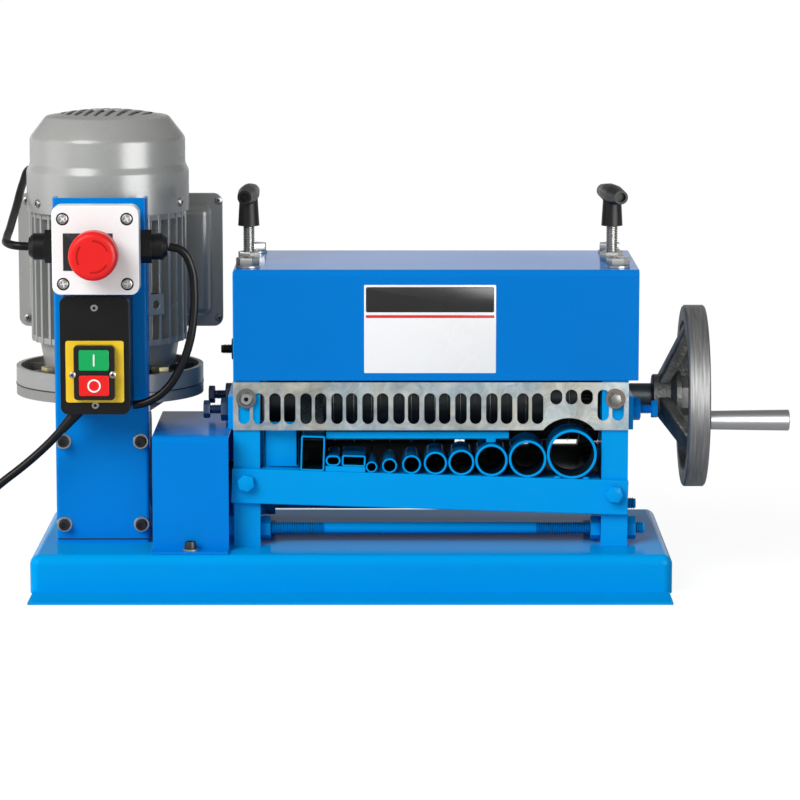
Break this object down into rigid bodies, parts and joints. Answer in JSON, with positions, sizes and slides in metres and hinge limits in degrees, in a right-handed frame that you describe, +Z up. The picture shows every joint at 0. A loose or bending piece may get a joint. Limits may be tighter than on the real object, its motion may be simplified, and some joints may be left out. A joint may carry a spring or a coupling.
{
  "type": "wire stripping machine",
  "caption": "Bench wire stripping machine: guide tubes feed cable between a knurled roller and disc blades, driven by a vertical motor and worm gearbox or a cranked handwheel.",
  "frame": {"origin": "on the floor under the middle of the machine's box, without its mains lead", "axes": "+X towards the handwheel, +Y away from the operator, +Z up"},
  "size_m": [0.8447, 0.31, 0.384],
  "materials": {
    "blue_paint": "glossy sprayed enamel on steel",
    "galvanised": "zinc-plated sheet, faintly streaked",
    "dark_steel": "oiled turned steel",
    "blade_steel": "ground tool steel",
    "zinc_plate": "zinc-plated fasteners",
    "cast_iron": "sand-cast iron, rim turned bright",
    "bright_chrome": "polished plated steel",
    "bronze": "bearing bronze",
    "motor_paint": "satin grey enamel on cast aluminium",
    "gearbox_alloy": "die-cast aluminium",
    "grey_plastic": "dark grey moulded plastic",
    "black_plastic": "black moulded plastic",
    "white_plastic": "white moulded plastic",
    "red_plastic": "red moulded plastic",
    "green_plastic": "green moulded plastic",
    "yellow_plate": "yellow printed plate, left without words",
    "black_rubber": "black cable sheath"
  },
  "bodies": {
    "frame": {"base_tray": "blue_paint", "left_side_plate": "blue_paint", "right_side_plate": "blue_paint", "top_cover": "blue_paint", "front_guard": "galvanised", "guide_rail": "blue_paint", "round_guide_tubes": "blue_paint", "flat_guide_tubes": "blue_paint", "tube_bar": "blue_paint", "side_shield": "blue_paint", "tie_rods": "blue_paint", "hex_nuts": "blue_paint", "hex_bolts": "blue_paint", "socket_screws": "dark_steel", "keeper_bars": "blue_paint", "side_stud": "dark_steel", "coupling_cover": "blue_paint", "control_column": "blue_paint", "gearbox_housing": "gearbox_alloy", "motor_flange": "motor_paint", "motor_body": "motor_paint", "fan_cowl": "motor_paint", "capacitor_box": "grey_plastic", "capacitor_lid": "grey_plastic", "estop_box": "white_plastic", "estop_lid": "white_plastic", "estop_collar": "black_plastic", "cable_glands": "black_plastic", "switch_box": "black_plastic", "switch_plate": "yellow_plate", "switch_bezel": "black_plastic", "control_cables": "black_rubber", "mains_cord": "black_rubber", "mains_coil": "black_rubber", "mains_plug": "black_plastic", "lower_bushes": "bronze"},
    "pressure_blocks": {"bearing_blocks": "dark_steel", "upper_bushes": "bronze"},
    "left_adjuster": {"left_screw": "zinc_plate", "left_tee": "black_plastic"},
    "right_adjuster": {"right_screw": "zinc_plate", "right_tee": "black_plastic"},
    "upper_rotor": {"upper_shaft": "dark_steel", "feed_wheels": "dark_steel", "disc_blades": "blade_steel", "upper_gear": "dark_steel", "handwheel": "cast_iron", "handwheel_nut": "dark_steel", "crank_stud": "bright_chrome"},
    "crank": {"crank_grip": "bright_chrome"},
    "lower_rotor": {"lower_shaft": "dark_steel", "output_shaft": "dark_steel", "lower_roller": "dark_steel", "pinion_gear": "dark_steel", "shaft_coupling": "dark_steel"},
    "motor_shaft": {"motor_rotor": "dark_steel"},
    "estop_slider": {"estop_stem": "black_plastic"},
    "estop_head": {"mushroom_head": "red_plastic"},
    "start": {"start_button": "green_plastic"},
    "stop": {"stop_button": "red_plastic"}
  },
  "joints": [
    {"name": "pressure_lift", "type": "slide", "parent": "frame", "child": "pressure_blocks", "axis": [0, 0, 1], "range_m": [0, 0.003]},
    {"name": "left_screw_turn", "type": "hinge", "parent": "pressure_blocks", "child": "left_adjuster", "pos_m": [-0.122, 0, 0.272], "axis": [0, 0, 1], "range_deg": [0, 720]},
    {"name": "right_screw_turn", "type": "hinge", "parent": "pressure_blocks", "child": "right_adjuster", "pos_m": [0.184, 0, 0.272], "axis": [0, 0, 1], "range_deg": [0, 720]},
    {"name": "handwheel_turn", "type": "hinge", "parent": "pressure_blocks", "child": "upper_rotor", "pos_m": [0.065, 0, 0.149], "axis": [1, 0, 0], "continuous": true},
    {"name": "crank_grip_turn", "type": "hinge", "parent": "upper_rotor", "child": "crank", "pos_m": [0.295, -0.06195, 0.13752], "axis": [1, 0, 0], "continuous": true},
    {"name": "lower_shaft_turn", "type": "hinge", "parent": "frame", "child": "lower_rotor", "pos_m": [0.015, 0, 0.083], "axis": [1, 0, 0], "continuous": true},
    {"name": "motor_turn", "type": "hinge", "parent": "frame", "child": "motor_shaft", "pos_m": [-0.2435, 0.04, 0.242], "axis": [0, 0, 1], "continuous": true},
    {"name": "estop_press", "type": "slide", "parent": "frame", "child": "estop_slider", "axis": [0, 1, 0], "range_m": [0, 0.005], "stiffness_N_per_m": 900},
    {"name": "estop_twist", "type": "hinge", "parent": "estop_slider", "child": "estop_head", "pos_m": [-0.2425, -0.12, 0.2825], "axis": [0, -1, 0], "range_deg": [-40, 0], "stiffness_Nm_per_rad": 0.05},
    {"name": "start_press", "type": "slide", "parent": "frame", "child": "start", "axis": [0, 1, 0], "range_m": [0, 0.003], "stiffness_N_per_m": 700},
    {"name": "stop_press", "type": "slide", "parent": "frame", "child": "stop", "axis": [0, 1, 0], "range_m": [0, 0.003], "stiffness_N_per_m": 700}
  ],
  "couplings": [
    {"joint": "left_screw_turn", "follows": "pressure_lift", "rad_per_m": 4188.8},
    {"joint": "right_screw_turn", "follows": "pressure_lift", "rad_per_m": 4188.8},
    {"joint": "lower_shaft_turn", "follows": "handwheel_turn", "ratio": -1.5385},
    {"joint": "motor_turn", "follows": "handwheel_turn", "ratio": 7.6923}
  ]
}
